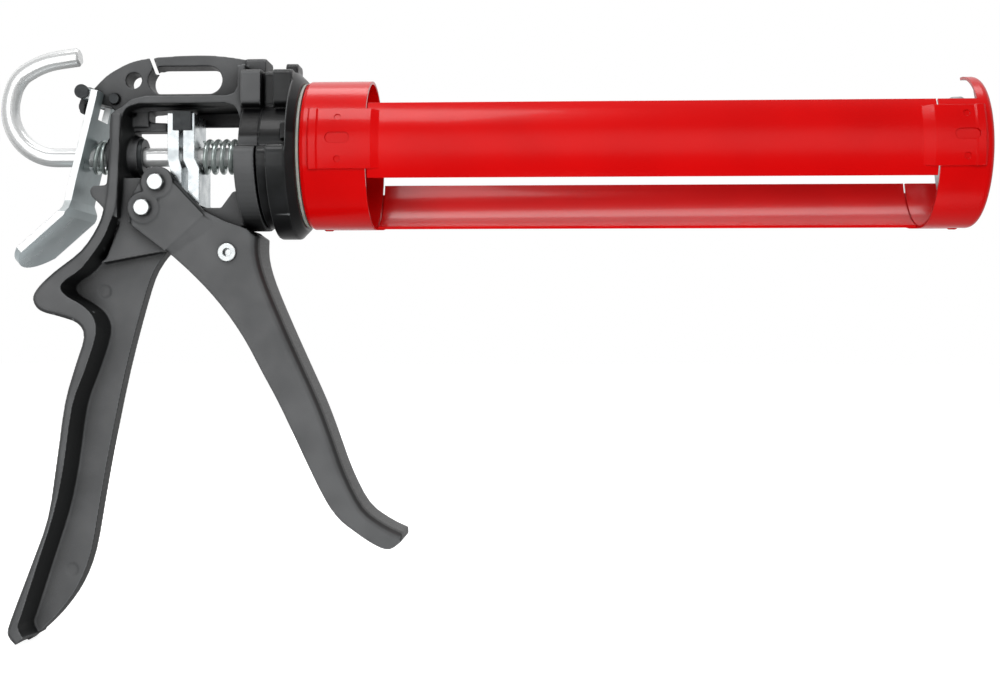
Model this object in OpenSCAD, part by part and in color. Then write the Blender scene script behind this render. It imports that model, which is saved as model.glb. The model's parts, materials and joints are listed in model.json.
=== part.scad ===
// Cradle caulking gun: a cast handle with a squeeze trigger, a pair of drive plates that
// walk a hexagonal push rod forward, a release lever behind the handle, and an open sheet
// steel cradle for the cartridge that turns on the nose of the handle.
// Millimetres. +X points to the nozzle end, +Z up. The origin is the centre of the nozzle
// slot, on the rod's axis, in the middle of the front plate. What belongs to the handle is
// drawn from the cradle's rear face instead, where X is 0, and at_handle() puts it there.

/* [Cradle] */
// Outer radius of the cradle's rings
cradle_r = 26.5; // [25.5:0.1:29]
// Length of the cradle from its rear edge to its front face
cradle_len = 236; // [225:1:260]
// Thickness of the cradle's sheet steel
sheet = 1; // [0.8:0.1:1.4]
// Length of the rear ring
ring_len = 23; // [20:0.5:28]
// Length of the front cap's skirt where a rail joins it
cap_len = 18.2; // [17:0.1:24]
// Length of the front cap's lip across the loading opening
cap_lip = 5; // [4:0.5:8]
// Radius of the bend between the front plate and its skirt
cap_bend = 2.6; // [1.5:0.1:3.5]
// Half width of the nozzle slot
slot_r = 12.5; // [10:0.25:14]
// Angle that each rail spans round the axis
rail_arc = 60; // [50:1:66]
// Angle from the middle of the loading opening to the middle of a rail
rail_at = 111; // [108:1:116]
// Angle that each rail's end tab spans
tab_arc = 45; // [36:1:48]
// How far the cradle is turned from opening straight up
cradle_turn = 27; // [0:1:60]

/* [Rod and plunger] */
// Width of the hexagonal rod across its flats
rod_af = 6; // [5:0.1:8]
// Gap between the plunger's edge and the cradle's rails
plunger_gap = 1.1; // [0.8:0.1:3]
// Distance from the front plate to the plunger's rear face
plunger_back = 9.2; // [8.4:0.1:30]
// Radius of the hook's bend, to the rod's centre
hook_r = 17; // [15:0.1:19]
// Radial clearance of the rod in its guides
rod_gap = 0.3; // [0.25:0.01:0.4]

/* [Handle] */
// Thickness of the top rail
rail_t = 10; // [8:0.5:12]
// Width of the handle's frame and rear flange
frame_w = 26; // [25:0.5:28]
// Thickness of the grip's web
web_t = 7; // [6:0.5:10]
// Radius of the hang hole
hang_r = 2.9; // [2:0.1:3.2]
// Height of the slot in the top rail
rail_slot_h = 10; // [8:0.5:10.5]
// Draft of the grip's flange between its rim and its root
flange_draft = 2.6; // [1.5:0.1:3.5]
// Radius of the rear flange disc on the handle's nose
nose_r = 27; // [25.5:0.1:27.4]

/* [Swivel] */
// Radius of the front flange disc
swivel_r = 30; // [28:0.5:31]
// Radius of the journal that the cradle turns on
journal_r = 10; // [8:0.5:12]
// Radial clearance of the cradle on its journal
journal_gap = 0.06; // [0.03:0.01:0.1]

/* [Trigger] */
// Outer width of the trigger's blade
blade_w = 24; // [23:0.2:25]
// How far the pad on each side of the head stands out from the blade
pad_rise = 1; // [0.6:0.1:1.6]
// How far the round bosses under the bolts stand out from the pad
boss_rise = 0.4; // [0.2:0.1:0.8]
// Wall of the trigger's cheeks and front
cheek_t = 3; // [2.4:0.1:3.2]
// Radius of the round bosses under the bolt heads
pad_r = 5.8; // [5.5:0.1:6.2]
// Radius of the pivot and push bolts
bolt_r = 2; // [1.6:0.1:2.4]
// Radial clearance of the running fits
fit = 0.05; // [0.02:0.01:0.08]
// Radius of the push roller
roller_r = 3.4; // [3:0.1:3.6]
// Width across the flats of the hexagon bolt heads
bolt_af = 5.5; // [5:0.1:6]
// Height of a bolt head
head_h = 2; // [1.6:0.1:2.6]

/* [Drive plates] */
// Thickness of a drive plate
plate_t = 4.1; // [3:0.1:4.2]
// Gap between a drive plate's edge and the trigger's cheek
plate_gap = 1; // [0.6:0.1:2]
// Space between the two drive plates
plate_space = 1.5; // [1.2:0.1:1.8]

/* [Springs] */
// Wire radius of both springs
wire_r = 0.8; // [0.6:0.05:0.9]
// Mean radius of the coils
coil_r = 5.7; // [5.6:0.05:6]
// Turns of the drive spring
drive_turns = 4.5; // [3:0.5:6]
// Turns of the release spring
release_turns = 1.5; // [1:0.5:2]

/* [Release lever] */
// Thickness of the release lever
lever_t = 2.5; // [2.2:0.1:3]
// Width of the release lever's upright part
lever_w = 24.4; // [20:0.2:26]
// Width of the release lever's thumb tab
tab_w = 33; // [28:0.5:36]
// Radius of the lever's pivot pin
lever_pin_r = 1.5; // [1.2:0.1:1.8]

/* [Hidden] */
$fn = 96;
slip = 0.3; // gap between bodies that don't touch
press = 0.02; // gap of a pin in the piece that holds it

// Cradle, from the origin
front_x = sheet / 2;
rear_x = front_x - cradle_len;
ring_front = rear_x + ring_len;
skirt_rear = front_x - cap_len;
plunger_r = cradle_r - sheet - plunger_gap;

// Stations along the axis, from the cradle's rear face
washer_t = 1;
collar_front = -washer_t - 0.1;
flange_front = -4;
collar_mid = -10.6;
collar_rear = -14.9;
lug_rear = -8.4;
nose_x = -22.5;
nose_t = 7.2;
bush_front = -60.6;
boss_front = -61.8;
wall_back = -73.5;
boss_r = 7.6;
bush_r = 5.6;
hub_r = 20;
guide_wall = 1.2;

// Side notches of the swivel's flanges: from notch_low up to notch_high
notch_low = 0.9;
notch_high = 15.9;
ear_h = 28.9;

// Trigger pivot, push bolt and rivet, as [x, z]
pivot = [-57.7, -19.6];
push = [-52.9, -10.6];
rivet_at = [-27.9, -35.4];
rivet_r = 3.2;
blade_half = blade_w / 2;
cheek_in = blade_half - cheek_t;
pad_half = blade_half + pad_rise;
boss_half = pad_half + boss_rise;
body_w = 2 * cheek_in - 1;
frame_half = frame_w / 2;
window_half = frame_half - 0.6;

// Drive plates, rear faces of their upper parts, and how far their lower parts step forward
plate1_step = 1;
plate2_step = 1.7;
plate1_x = push[0] + roller_r + 0.1 - plate1_step;
plate2_x = plate1_x + plate_t + plate_space;
plate_w = 2 * (cheek_in - plate_gap);
plate_top = 14.7;
rod_r = rod_af / 2 / cos(30);
guide_r = rod_r + rod_gap;

// Release lever
pin_at = [-80.2, 22];
pin_head_r = 2.5;
ear_in = rail_t / 2 + slip;
lever_hole_r = rod_r + 1;
lever_path = [[-75.6, 22.6], [-76.3, 19.3], [-83.4, -9.3], [-85, -16.4], [-85, -19.4],
    [-86, -21.5], [-106.1, -39]];
lever_lean = (lever_path[1][0] - lever_path[2][0]) / (lever_path[1][1] - lever_path[2][1]);
lever_front = lever_path[1][0] - lever_lean * lever_path[1][1] + 0.5 * lever_t + 0.1;
// Slope of the thumb tab, where its sides start to flare, and the radius of its rounded end
tab_slope = 41;
flare_z = -16.7;
tab_end_r = 24;

// Rear outline of the handle, from the top of the wall round the horn to the butt
back_line = [[-69.9, 14], [-70.2, 4], [-71, -8], [-72.3, -18.9], [-74.6, -26], [-80.5, -34.6],
    [-90, -42], [-96.1, -47.8], [-97.9, -52], [-95.3, -56], [-88, -58.2], [-81.7, -60.6],
    [-79.5, -65.5], [-82.5, -75.5], [-86.3, -89], [-89.3, -110], [-92.5, -130],
    [-98.5, -147], [-106.1, -167], [-106.9, -172], [-104.1, -175.4]];
// Inner edge of the flange's rim, along the same way
rim_line = [[-66.2, 14], [-66.5, 4], [-67, -8], [-67.9, -18.9], [-69.9, -25.2], [-72.9, -31.5],
    [-79.9, -40.8], [-85.9, -45.2], [-87.5, -48], [-85.3, -50.9], [-80.1, -53.9],
    [-75.9, -58], [-74.8, -64.4], [-78.7, -77], [-83.3, -90], [-86.5, -112], [-89.9, -128],
    [-95.7, -146], [-101.5, -164], [-102.9, -168.6], [-101.1, -172.6]];
// Front outline of the grip's web, from the butt up to the body
front_line = [[-101.3, -174.2], [-96.5, -170.3], [-90.5, -164], [-84.3, -155], [-79.7, -143],
    [-76.1, -123], [-73, -106], [-67.1, -77.5], [-60.7, -53], [-56.5, -41], [-50.5, -33]];
// Upper edge of the trigger's head, from the pivot forward
head_line = [[-62.9, -16.4], [-57.1, -6.4], [-49.5, -6.6], [-36.5, -20.6], [-28.5, -24.4],
    [-20.9, -27]];
// Front outline of the trigger's blade, from the head down to the tip
blade_front = [[-17, -29.6], [-16.9, -36.5], [-14.4, -45.6], [-8.3, -60.2], [-1.7, -74.8],
    [4.5, -88.5], [9.3, -101], [14.1, -114], [20.3, -125.6], [27.7, -131.4], [34.3, -134.6]];
// Rear outline of the blade, from the head down to the tip
blade_back = [[-63.5, -24.4], [-50.5, -34.2], [-39.5, -44], [-30.3, -54], [-22.1, -65.6],
    [-15.2, -78.3], [-8.4, -91], [4.5, -118], [10.9, -128.4], [17.5, -134], [24.9, -138.8],
    [29.9, -140.2], [34.1, -137.4]];

// A smooth curve through a list of points
function bend_at(a, b, c, d, t) =
    0.5 * (2 * b + (c - a) * t + (2 * a - 5 * b + 4 * c - d) * t * t
        + (3 * b - a - 3 * c + d) * t * t * t);
function curve(p, n = 3) = let (last = len(p) - 1)
    concat([for (i = [0:last - 1]) for (k = [0:n - 1])
        bend_at(p[max(i - 1, 0)], p[i], p[i + 1], p[min(i + 2, last)], k / n)], [p[last]]);
// The same curve moved sideways, to its right as it runs
function side(p, i) = let (d = p[min(i + 1, len(p) - 1)] - p[max(i - 1, 0)], l = norm(d))
    [d[1] / l, -d[0] / l];
function beside(p, by) = [for (i = [0:len(p) - 1]) p[i] + side(p, i) * by];
function reversed(p) = [for (i = [len(p) - 1:-1:0]) p[i]];

module at_handle() {
    translate([rear_x, 0, 0]) children();
}

// Solid between two edges that run side by side, such as the two edges of a blade, through
// levels across Y. Each level is [y, front edge, rear edge], y rises, and every edge has as
// many points and starts at the same end
module across_y_skin(levels) {
    m = len(levels[0][1]);
    n = 2 * m;
    last = len(levels) - 1;
    flat = [for (i = [0:m - 2]) each [[i, i + 1, n - 2 - i], [i, n - 2 - i, n - 1 - i]]];
    polyhedron(
        points = [for (l = levels) for (p = concat(l[1], reversed(l[2]))) [p[0], l[0], p[1]]],
        faces = concat(
            flat,
            [for (k = [0:last - 1]) for (i = [0:n - 1]) let (j = (i + 1) % n)
                each [[k * n + i, (k + 1) * n + i, (k + 1) * n + j],
                    [k * n + i, (k + 1) * n + j, k * n + j]]],
            [for (f = flat) [last * n + f[2], last * n + f[1], last * n + f[0]]]));
}

// Outline in X-Z made into a plate of thickness t, centred on Y
module plate_y(t) {
    rotate([90, 0, 0]) linear_extrude(t, center = true) children();
}

// Two plates in X-Z, one on each side, from inner to outer along Y
module both_sides(inner, outer) {
    for (s = [-1, 1])
        translate([0, s * (inner + outer) / 2, 0]) plate_y(outer - inner) children();
}

// Round bar along Y at [x, z], from y0 to y1
module bar_y(at, r, y0, y1, sides = 64) {
    translate([at[0], y0, at[1]]) rotate([-90, 0, 0]) cylinder(r = r, h = y1 - y0, $fn = sides);
}

// Round bar along X from x0 to x1
module bar_x(x0, x1, r, sides = 96) {
    translate([x0, 0, 0]) rotate([0, 90, 0]) cylinder(r = r, h = x1 - x0, $fn = sides);
}

// Ring along X turned from an outline of [radius, x] points
module turned(points) {
    rotate([0, 90, 0]) rotate_extrude($fn = 120) polygon(points);
}

// Outline in Y-Z made into a plate along X from x0 to x1
module plate_x(x0, x1) {
    translate([x0, 0, 0]) rotate([90, 0, 90]) linear_extrude(x1 - x0) children();
}

// Coil spring along X from x0 to x1, whose end at x0 may lean with what it presses on
module coil(x0, x1, turns, lean = 0) {
    around = 8;
    per_turn = 24;
    n = ceil(turns * per_turn);
    centres = [for (i = [0:n]) let (a = 360 * i / per_turn)
        [x0 + wire_r + (x1 - x0 - 2 * wire_r) * i / n + lean * coil_r * cos(a) * (1 - i / n),
            coil_r * sin(a), coil_r * cos(a)]];
    polyhedron(
        points = [for (i = [0:n]) for (k = [0:around - 1])
            let (a = 360 * i / per_turn, b = 360 * k / around)
            centres[i] + wire_r * (cos(b) * [1, 0, 0] - sin(b) * [0, sin(a), cos(a)])],
        faces = concat(
            [[for (k = [0:around - 1]) k]],
            [for (i = [0:n - 1]) for (k = [0:around - 1]) let (m = (k + 1) % around)
                [i * around + k, (i + 1) * around + k, (i + 1) * around + m]],
            [for (i = [0:n - 1]) for (k = [0:around - 1]) let (m = (k + 1) % around)
                [i * around + k, (i + 1) * around + m, i * around + m]],
            [[for (k = [around - 1:-1:0]) n * around + k]]));
}

// ---- handle ----

rail_mid_z = 27.1;
slot_rear = -58.5;
slot_front = -31.5;
hang_x = -63.7;
frame_pin_at = [-70.5, 20.4];
frame_pin_r = 1.8;
panel_top = 20.3;

// Top rail: the arched back with a straight underside, and the boss and stop hook for the
// release lever at its rear end
module rail_outline() {
    polygon(concat(
        curve([[-79, 19.5], [-79.1, 23], [-74.1, 28.4], [-69.1, 31.6], [-63.5, 34],
            [-55.5, 35.3], [-40.5, 36], [-30.5, 35.4], [nose_x + 1, 34]]),
        [[nose_x + 1, 17.8], [-66, 15.4], [-70, 15.4], [-72, 17.8]]));
    translate(pin_at) circle(r = 2.9, $fn = 48);
    polygon([[-81.6, 22], [-83.2, 20.4], [-84, 18], [-83.2, 15.5], [-81.6, 15], [-81.3, 18.6],
        [-79, 19.6]]);
}

module rail_slot() {
    end_r = rail_slot_h / 2;
    for (x = [slot_rear + end_r, slot_front - end_r])
        translate([x, rail_mid_z]) circle(r = end_r);
    translate([slot_rear + end_r, rail_mid_z - end_r])
        square([slot_front - slot_rear - 2 * end_r, rail_slot_h]);
}

// Opening in the frame that shows the drive
module window_outline() {
    polygon(concat(
        curve([[-67, -16], [-66.2, 4], [-65.7, 12], [-64, 16], [-59.9, 17.5]], 4),
        curve([[-28.5, 17.5], [-26, 16.7], [-24.2, 14.6], [-22.4, 8]], 4),
        [[-22, -8], [-22, -30], [-68.9, -30], [-67.5, -24]]));
}

// Outer edge of the frame round the window
module frame_outline() {
    polygon(concat(
        [[-72.2, -20], [-70.6, -6]],
        curve([[-70.2, 4], [-70, 11], [-69, 14.4], [-65.6, 16.4], [-62.2, 19], [-57, panel_top]]),
        [[-28, panel_top], [-25.4, 21.2], [-24.3, 23.4], [-24.3, 30.8], [nose_x + 1, 31.4],
            [nose_x + 1, -18], [-32.5, -25], [-64.5, -25]]));
}

// Lower body: carries the trigger's pivot and runs on to the nose
module body_outline() {
    polygon([[-66.2, -8.4], [-60.2, -8.4], [-58.8, -11.6], [-58.8, -15.6], [-53, -19.2],
        [-31, -19.2], [-26.9, -13.6], [nose_x + 1, -12], [nose_x + 1, -25.6], [-27.5, -27.2],
        [-43.5, -27.6], [-50.5, -33.4], [-52.4, -34.8], [-74.7, -38.9], [-72.5, -36.9],
        [-68.2, -26], [-66.7, -20]]);
    translate(pivot) circle(r = 5);
}

// Stop nub on the rear wall that the release lever comes up against
module nub_outline() {
    polygon([[-70, -10.6], [-72, -11.4], [-76.2, -11.7], [-77.2, -13.2], [-76.6, -15.4],
        [-74, -17.8], [-72, -20], [-70, -20]]);
}

// Flange of the swivel: a disc with a notch on each side and square ears above the notches
module flange_outline(r, ear_w) {
    rim = 3.5;
    ear_r = 2;
    intersection() {
        circle(r = r);
        translate([-r, -r]) square([2 * r, r + notch_low - rim]);
    }
    translate([-r + rim, notch_low - 2 * rim]) square([2 * (r - rim), 2 * rim]);
    for (s = [-1, 1]) translate([s * (r - rim - 0.2), notch_low - rim]) circle(r = rim, $fn = 32);
    circle(r = hub_r - 0.4);
    translate([-ear_w / 2 + ear_r, notch_high]) square([ear_w - 2 * ear_r, ear_h - notch_high]);
    translate([-ear_w / 2, notch_high + ear_r]) square([ear_w, ear_h - notch_high - 2 * ear_r]);
    for (s = [-1, 1]) for (z = [notch_high + ear_r, ear_h - ear_r])
        translate([s * (ear_w / 2 - ear_r), z]) circle(r = ear_r, $fn = 32);
}

// Lug on top of a flange, w wide and up to height h
module lug_outline(w, h) {
    polygon([[-w / 2, ear_h - 2], [-w / 2, h - 1], [1 - w / 2, h], [w / 2 - 1, h],
        [w / 2, h - 1], [w / 2, ear_h - 2]]);
}

module grip_flange() {
    outer = curve(back_line);
    rim = curve(rim_line);
    root = [for (p = rim) p + [flange_draft, 0]];
    inset = beside(outer, -1.2);
    root_half = web_t / 2 - 0.5;
    across_y_skin([[-frame_half, rim, inset], [-frame_half + 1.2, rim, outer],
        [-root_half, root, outer], [root_half, root, outer],
        [frame_half - 1.2, rim, outer], [frame_half, rim, inset]]);
}

module grip_web() {
    inner = [for (p = curve(back_line)) p + [1.5, 0]];
    low = [for (p = inner) if (p[1] < -26) p];
    plate_y(web_t) polygon(concat(low, curve(front_line)));
}

// Finger above the rod that the drive plates rock against, with its gusset
module rocker_finger() {
    plate_y(7) polygon([[-68, 8.9], [-51.8, 8.9], [-51.8, 11.9], [-58.3, 12.2], [-58.3, 17.8],
        [-68, 17.8]]);
    plate_y(9) polygon([[-66.8, 10.4], [-58.3, 10.4], [-58.3, 15.7], [-60.9, 15.7],
        [-63.4, 14.8], [-65.3, 12.6]]);
}

module handle_casting() {
    at_handle() color("#2b2c2e") difference() {
        union() {
            plate_y(rail_t) rail_outline();
            plate_y(2 * window_half) difference() {
                frame_outline();
                window_outline();
            }
            plate_y(2 * window_half) nub_outline();
            plate_y(body_w) body_outline();
            grip_flange();
            grip_web();
            bar_x(wall_back + 0.4, boss_front, boss_r);
            plate_x(nose_x, nose_x + nose_t) {
                flange_outline(nose_r, 32);
                lug_outline(13, 34.4);
            }
            rocker_finger();
        }
        plate_y(2 * frame_w) rail_slot();
        bar_y([hang_x, rail_mid_z], hang_r, -frame_w, frame_w);
        // narrow slit from the rail's slot up through its back
        plate_y(2 * frame_w) polygon([[-56.9, 30], [-55.5, 30], [-56.5, 40], [-58.5, 40]]);
        bar_x(wall_back - 8, boss_front + 8, bush_r + press);
        bar_x(nose_x - 1, nose_x + nose_t + 1, 8 + press);
        bar_y(pivot, bolt_r + press, -frame_w, frame_w);
        bar_y(pin_at, lever_pin_r + press, -frame_w, frame_w);
        bar_y(frame_pin_at, frame_pin_r + press, -frame_w, frame_w);
        // round marks left by the mould's ejector pins
        for (at = [[-74.6, -48.8], [-86.6, -149.4]]) for (s = [-1, 1])
            bar_y(at, 2.4, s * web_t / 2 - 0.25, s * web_t / 2 + 0.25);
    }
}

module swivel_collar() {
    at_handle() color("#161718") difference() {
        union() {
            turned([[guide_r + guide_wall, nose_x - 1.4], [8, nose_x - 1.4],
                [8, nose_x + nose_t], [hub_r, nose_x + nose_t], [hub_r, collar_front],
                [journal_r, collar_front], [journal_r, 5], [guide_r + guide_wall, 5]]);
            plate_x(collar_rear, collar_mid) flange_outline(26.2, 24);
            plate_x(collar_mid - 0.2, flange_front) flange_outline(swivel_r, 32);
            plate_x(lug_rear, flange_front) lug_outline(10, 32.8);
            turned([[18, flange_front - 0.2], [swivel_r, flange_front - 0.2],
                [swivel_r - 3, collar_front], [18, collar_front]]);
            // small lugs in the side notches
            for (s = [-1, 1]) translate([-7.1, s * 18.5 - 3.5, 3.2]) cube([3.6, 7, 6]);
        }
        bar_x(nose_x - 4, 8, guide_r);
    }
}

module swivel_washer() {
    r = cradle_r - 0.7;
    at_handle() color("#d8d8d2") turned([[journal_r + 0.2, -washer_t], [r, -washer_t],
        [r, -0.1], [journal_r + 0.2, -0.1]]);
}

module cradle_nut() {
    nut_x = sheet + 0.2;
    at_handle() color("silver") turned([[journal_r, nut_x], [15, nut_x], [15, nut_x + 1.4],
        [13.4, nut_x + 1.4], [13.4, nut_x + 3.6], [journal_r, nut_x + 3.6]]);
}

module rear_guide_bush() {
    head_r = bush_r + 1.2;
    at_handle() color("#3a3a3c") turned([[guide_r, wall_back + 0.2],
        [bush_r, wall_back + 0.2], [bush_r, boss_front], [head_r, boss_front],
        [head_r - 0.3, bush_front], [guide_r, bush_front]]);
}

module frame_pin() {
    at_handle() color("#1b1b1c") bar_y(frame_pin_at, frame_pin_r, -rail_t / 2 - 1.4, rail_t / 2 + 1.4);
}

module lever_pin() {
    outer = lever_w / 2 + 0.4;
    at_handle() color("#1b1b1c") {
        bar_y(pin_at, lever_pin_r, -outer, outer);
        for (s = [-1, 1]) bar_y(pin_at, pin_head_r, min(s * outer, s * (outer - 1.4)),
            max(s * outer, s * (outer - 1.4)));
    }
}

// Hexagon head or nut across Y, its outer edge at y1 turned to a cone
module hex_y(at, af, y0, y1) {
    flip = y1 > y0 ? -90 : 90;
    h = abs(y1 - y0);
    corner_r = af / 2 / cos(30);
    translate([at[0], y0, at[1]]) rotate([flip, 0, 0]) intersection() {
        cylinder(r = corner_r, h = h, $fn = 6);
        cylinder(r1 = corner_r + h, r2 = af / 2 * 0.98, h = h, $fn = 64);
    }
}

module side_bolt(at) {
    seat = boss_half + slip;
    bar_y(at, bolt_r, -seat - 0.1, seat + head_h + 0.6);
    hex_y(at, bolt_af, -seat, -seat - head_h);
}
module side_nut(at) {
    seat = boss_half + slip;
    difference() {
        hex_y(at, bolt_af + 1, seat, seat + head_h);
        bar_y(at, bolt_r + press, seat - 1, seat + head_h + 1);
    }
}

module trigger_pivot_bolt() {
    at_handle() color("#e2e4e4") side_bolt(pivot);
}
module trigger_pivot_nut() {
    at_handle() color("#e2e4e4") side_nut(pivot);
}

module drive_spring() {
    at_handle() color("#c9cccc")
        coil(plate2_x + plate_t + 2 * slip, nose_x - 1.4 - slip, drive_turns);
}

module release_spring() {
    at_handle() color("#c9cccc") coil(lever_front + slip, wall_back - slip, release_turns, lever_lean);
}

// ---- trigger ----

module trigger_blade() {
    front = curve(blade_front);
    rear = curve(blade_back);
    levels = [[blade_half, 2.6], [blade_half - 0.7, 1.2], [blade_half - 2.2, 0.3],
        [blade_half - 4.5, 0]];
    across = concat([for (l = levels) [-l[0], l[1]]], reversed(levels));
    inside = beside(front, cheek_t);
    difference() {
        across_y_skin([for (l = across) [l[0], concat(head_line, beside(front, l[1])), rear]]);
        plate_y(2 * cheek_in) polygon(concat([[-13.5, 10], [-13.5, -28.4], [-23, -28.4]],
            inside, [[29.5, -146], [-4.5, -140], [-84.5, -50], [-84.5, 10]]));
    }
}

module head_outline() {
    polygon([pivot + [-4.6, -4.2], pivot + [3, -4], push + [4.2, 1.7], [-36.1, -22.2],
        [-50.1, -34.8], [-61.9, -25.8]]);
    translate(pivot) circle(r = pad_r);
    translate(push) circle(r = pad_r);
}

module trigger_lever() {
    at_handle() color("#2b2c2e") difference() {
        union() {
            trigger_blade();
            both_sides(blade_half - 1.4, pad_half) head_outline();
            both_sides(blade_half - 1.4, boss_half) {
                translate(pivot) circle(r = pad_r - 0.2);
                translate(push) circle(r = pad_r - 0.2);
            }
            // the pad runs out into the blade in a short ramp
            for (s = [-1, 1]) hull() {
                translate([0, s * (pad_half - 0.3), 0]) plate_y(0.4)
                    polygon([[-36.9, -22.7], [-49.9, -34.2], [-51.2, -32.8], [-38.2, -21.4]]);
                translate([0, s * (blade_half - 0.5), 0]) plate_y(0.8)
                    polygon([[-31.4, -25.6], [-46.2, -36], [-49.9, -34.4], [-36.9, -22.9]]);
            }
        }
        bar_y(pivot, bolt_r + fit, -frame_w, frame_w);
        bar_y(push, bolt_r + press, -frame_w, frame_w);
        bar_y(rivet_at, rivet_r - 0.8 + press, -frame_w, frame_w);
    }
}

module push_bolt() {
    at_handle() color("#e2e4e4") side_bolt(push);
}
module push_nut() {
    at_handle() color("#e2e4e4") side_nut(push);
}
module push_roller() {
    half = cheek_in - slip;
    at_handle() color("#9a9c9c") difference() {
        bar_y(push, roller_r, -half, half);
        bar_y(push, bolt_r + press, -half - 1, half + 1);
    }
}
module trigger_rivet() {
    head = 0.8;
    at_handle() color("#c9cccc") difference() {
        union() {
            bar_y(rivet_at, rivet_r - head, -blade_half - head / 2, blade_half + head / 2);
            bar_y(rivet_at, rivet_r, -blade_half - head, -blade_half);
            bar_y(rivet_at, rivet_r, blade_half, blade_half + head);
        }
        bar_y(rivet_at, 1.4, -blade_half - 2, -blade_half + 1);
        bar_y(rivet_at, 1.4, blade_half - 1, blade_half + 2);
    }
}

// ---- drive ----

// Drive plate in X-Z from its upper rear edge at x down to low, its lower end set forward
module plate_profile(x, low, step) {
    bend_top = -1.9;
    bend_low = -5.6;
    polygon([[x, plate_top], [x, bend_top], [x + step, bend_low], [x + step, low],
        [x + step + plate_t, low], [x + step + plate_t, bend_low + 0.6],
        [x + plate_t, bend_top + 0.6], [x + plate_t, plate_top]]);
}
module rear_plate_outline() {
    plate_profile(plate1_x, -14.5, plate1_step);
}
module front_plate_outline() {
    plate_profile(plate2_x, -18.2, plate2_step);
}
module drive_plate_rear() {
    at_handle() color("#d5d8d8") difference() {
        plate_y(plate_w) rear_plate_outline();
        bar_x(plate1_x - 5, plate1_x + 12, guide_r);
    }
}
module drive_plate_front() {
    at_handle() color("#d5d8d8") difference() {
        plate_y(plate_w) front_plate_outline();
        bar_x(plate2_x - 5, plate2_x + 12, guide_r);
    }
}
// Clip over the plates' upper ends that keeps them apart
module plate_block() {
    reach = plate_t / 2;
    wall = 0.9;
    at_handle() color("#202123") difference() {
        plate_y(plate_w + 2 * wall) translate([plate1_x + reach, 8.6])
            square([plate2_x - plate1_x + reach / 2, plate_top + 0.6 - 8.6]);
        plate_y(plate_w + 2 * press) {
            translate([plate1_x - 1, 0]) square([plate_t + 1 + press, plate_top + press]);
            translate([plate2_x - press, 0]) square([plate_t + 1, plate_top + press]);
        }
    }
}

// ---- release ----

module lever_outline() {
    h = lever_t / 2;
    polygon(concat(beside(lever_path, h), reversed(beside(lever_path, -h))));
}

module release_lever() {
    ear_low = 13;
    tongue_out = lever_w / 2 - 1.2;
    tip = lever_path[len(lever_path) - 1];
    flare = tab_w / 2 - lever_w / 2 + 1;
    at_handle() color("#d5d8d8") difference() {
        union() {
            difference() {
                plate_y(tab_w) lever_outline();
                for (s = [-1, 1]) plate_x(-110, -60) polygon([[s * lever_w / 2, flare_z],
                    [s * (lever_w / 2 + flare), flare_z - flare],
                    [s * (lever_w / 2 + flare), 40], [s * lever_w / 2, 40]]);
                translate([-100, -ear_in, ear_low]) cube([60, 2 * ear_in, 20]);
            }
            // knuckles on the pin, one inside each ear
            both_sides(ear_in + 0.1, tongue_out) {
                translate(pin_at) circle(r = pin_head_r - 0.2, $fn = 48);
                polygon([pin_at - [0, 2.2], pin_at + [0, 0.6], [-75.7, 22], lever_path[1]]);
            }
        }
        bar_y(pin_at, lever_pin_r + fit, -frame_w, frame_w);
        bar_x(-100, -70, lever_hole_r);
        // rounded end of the thumb tab
        translate([tip[0], 0, tip[1]]) rotate([0, -tab_slope, 0]) difference() {
            translate([-5, -tab_w, -10]) cube([tab_end_r / 2, 2 * tab_w, 20]);
            translate([tab_end_r, 0, -11]) cylinder(r = tab_end_r, h = 22);
        }
    }
}

// ---- rod ----

hook_x = rear_x - 93.6;
// Free end of the hook, from where its round bend stands upright
hook_end = [[0, 0], [0.2, 4.6], [2, 8.6], [5.4, 11], [9.4, 12.9], [13.1, 14.8], [17.6, 16.8],
    [25.7, 19.9]];
spigot_r = rod_af / 2;
nut_h = 4;
// Hexagonal bar along a path of [x, z] points, its corners in the path's plane
module hex_bar(path, r) {
    n = len(path);
    polyhedron(
        points = [for (i = [0:n - 1]) let (s = side(path, i)) for (a = [0:60:300])
            [path[i][0], 0, path[i][1]]
                + r * (cos(a) * [s[0], 0, s[1]] + sin(a) * [0, 1, 0])],
        faces = concat(
            [[for (k = [0:5]) k]],
            [for (i = [0:n - 2]) for (k = [0:5]) let (m = (k + 1) % 6)
                each [[i * 6 + k, (i + 1) * 6 + k, (i + 1) * 6 + m],
                    [i * 6 + k, (i + 1) * 6 + m, i * 6 + m]]],
            [[for (k = [5:-1:0]) (n - 1) * 6 + k]]));
}
module push_rod() {
    shoulder = front_x - plunger_back - 1.6;
    bend = [for (a = [270:-6:186]) [hook_x + hook_r * cos(a), hook_r + hook_r * sin(a)]];
    free_end = curve([for (p = hook_end) p + [hook_x - hook_r, hook_r]]);
    color("#dcdede") {
        hex_bar(concat([[shoulder, 0]], bend, free_end), rod_r);
        bar_x(shoulder - 2, front_x - plunger_back + nut_h + 2.4, spigot_r - press);
    }
}

module plunger_disc() {
    x = front_x - plunger_back;
    color("#c4c7c7") turned([[spigot_r, x], [plunger_r - 1, x], [plunger_r, x + 1],
        [plunger_r, x + 4.6], [plunger_r - 1, x + 4.6], [plunger_r - 1.2, x + 1.6],
        [spigot_r, x + 1.6]]);
}
module plunger_cup() {
    x = front_x - plunger_back;
    color("#b0b3b3") turned([[spigot_r, x - 1.6], [12, x - 1.6], [12, x], [spigot_r, x]]);
}
module rod_nut() {
    x = front_x - plunger_back + 1.6;
    color("silver") difference() {
        translate([x, 0, 0]) rotate([0, 90, 0])
            cylinder(r = (spigot_r + 2) / cos(30), h = nut_h, $fn = 6);
        bar_x(x - 1, x + nut_h + 1, spigot_r);
    }
}

// ---- cradle ----

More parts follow.
